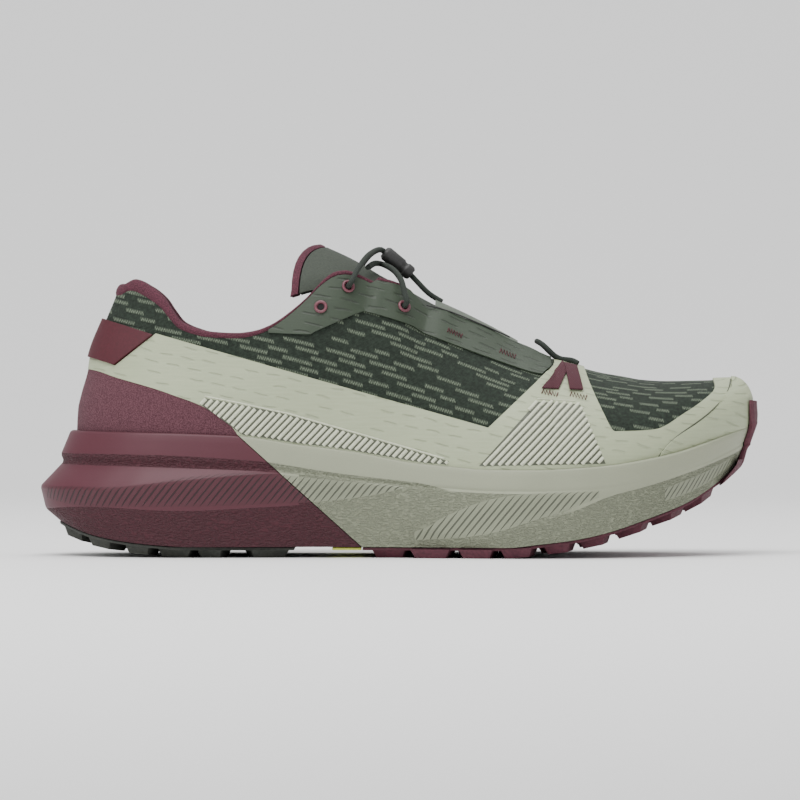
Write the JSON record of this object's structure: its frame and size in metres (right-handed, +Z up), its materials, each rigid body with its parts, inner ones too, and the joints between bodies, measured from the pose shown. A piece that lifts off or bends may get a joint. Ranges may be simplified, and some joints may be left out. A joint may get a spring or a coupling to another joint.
{
  "type": "trail running shoe",
  "caption": "Low-cut trail running shoe for the right foot with a thick two-part foam sole, lugged rubber outsole, knitted upper with film overlays and a cord lace with a cord lock",
  "frame": {"origin": "middle of the shoe's bounding box, on the ground plane its lugs stand on", "axes": "+X to the toe, +Y to the medial side, +Z up; the lateral side faces -Y"},
  "size_m": [0.2873, 0.1038, 0.1244],
  "materials": {
    "rubber_rear": "matte",
    "rubber_front": "matte",
    "rubber_bright": "matte",
    "foam_rear": "matte",
    "foam_front": "matte",
    "lining": "matte",
    "knit": "matte",
    "film": "satin",
    "felt": "matte",
    "strap": "satin",
    "stay_film": "satin",
    "binding": "matte",
    "tongue_cloth": "matte",
    "pocket_film": "satin",
    "eyelet": "satin",
    "webbing": "matte",
    "lace": "matte",
    "lock_plastic": "matte"
  },
  "bodies": {
    "root": {"outsole_heel": "rubber_rear", "outsole_forefoot": "rubber_front", "arch_inlay": "rubber_bright", "midsole_rear": "foam_rear", "midsole_front": "foam_front", "insole": "lining", "upper": "knit", "cage": "film", "heel_counter": "felt", "heel_strap": "strap", "toe_cap": "film", "eyestay_lateral": "stay_film", "eyestay_medial": "stay_film", "collar_cuff": "binding", "tongue": "tongue_cloth", "tongue_trim": "binding", "lace_garage": "pocket_film", "eyelet_1": "eyelet", "eyelet_2": "eyelet", "eyelet_3": "eyelet", "eyelet_4": "eyelet", "eyelet_5": "eyelet", "eyelet_6": "eyelet", "webbing_lateral": "webbing", "webbing_medial": "webbing", "lace_crossings": "lace", "lace_front": "lace", "lace_strand_lateral": "lace", "lace_strand_medial": "lace", "lace_tail": "lace", "cord_lock": "lock_plastic"}
  },
  "joints": []
}
